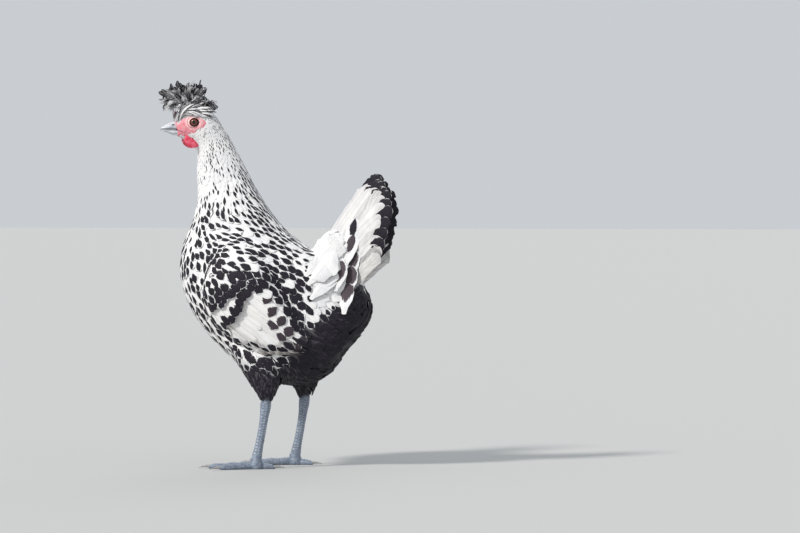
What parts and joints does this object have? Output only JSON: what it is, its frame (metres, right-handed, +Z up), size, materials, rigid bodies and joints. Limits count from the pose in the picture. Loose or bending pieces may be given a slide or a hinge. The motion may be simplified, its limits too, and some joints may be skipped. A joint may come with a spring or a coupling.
{
  "type": "crested hen, silver spangled, standing",
  "caption": "Life-size standing hen with a forward-leaning crest, forked comb, folded wings, upright tail and bare slate-grey feet; still, no joints.",
  "frame": {"origin": "on the floor under the middle of the hen's bounding box", "axes": "+Z up; -Y towards the breast and beak; +X towards the hen's left side"},
  "size_m": [0.1534, 0.261, 0.4324],
  "materials": {
    "plumage_white": "matte",
    "plumage_spangled": "matte",
    "plumage_dark": "matte",
    "red_skin": "satin",
    "white_skin": "satin",
    "horn": "satin",
    "slate_scale": "satin",
    "eye": "gloss"
  },
  "bodies": {
    "root": {"beak_lower": "horn", "beak_upper": "horn", "claw_hind_L": "horn", "claw_hind_R": "horn", "claw_inner_L": "horn", "claw_inner_R": "horn", "claw_middle_L": "horn", "claw_middle_R": "horn", "claw_outer_L": "horn", "claw_outer_R": "horn", "comb_L": "red_skin", "comb_R": "red_skin", "crest": "plumage_dark", "earlobe_L": "white_skin", "earlobe_R": "white_skin", "eye_L": "eye", "eye_R": "eye", "foot_pad_L": "slate_scale", "foot_pad_R": "slate_scale", "head": "plumage_white", "neck": "plumage_spangled", "shank_L": "slate_scale", "shank_R": "slate_scale", "tail_coverts": "plumage_white", "tail_fan_L": "plumage_white", "tail_fan_R": "plumage_white", "thigh_L": "plumage_dark", "thigh_R": "plumage_dark", "toe_hind_L": "slate_scale", "toe_hind_R": "slate_scale", "toe_inner_L": "slate_scale", "toe_inner_R": "slate_scale", "toe_middle_L": "slate_scale", "toe_middle_R": "slate_scale", "toe_outer_L": "slate_scale", "toe_outer_R": "slate_scale", "trunk": "plumage_spangled", "wattle_L": "red_skin", "wattle_R": "red_skin", "wing_coverts_L": "plumage_spangled", "wing_coverts_R": "plumage_spangled", "wing_flights_L": "plumage_white", "wing_flights_R": "plumage_white"}
  },
  "joints": []
}
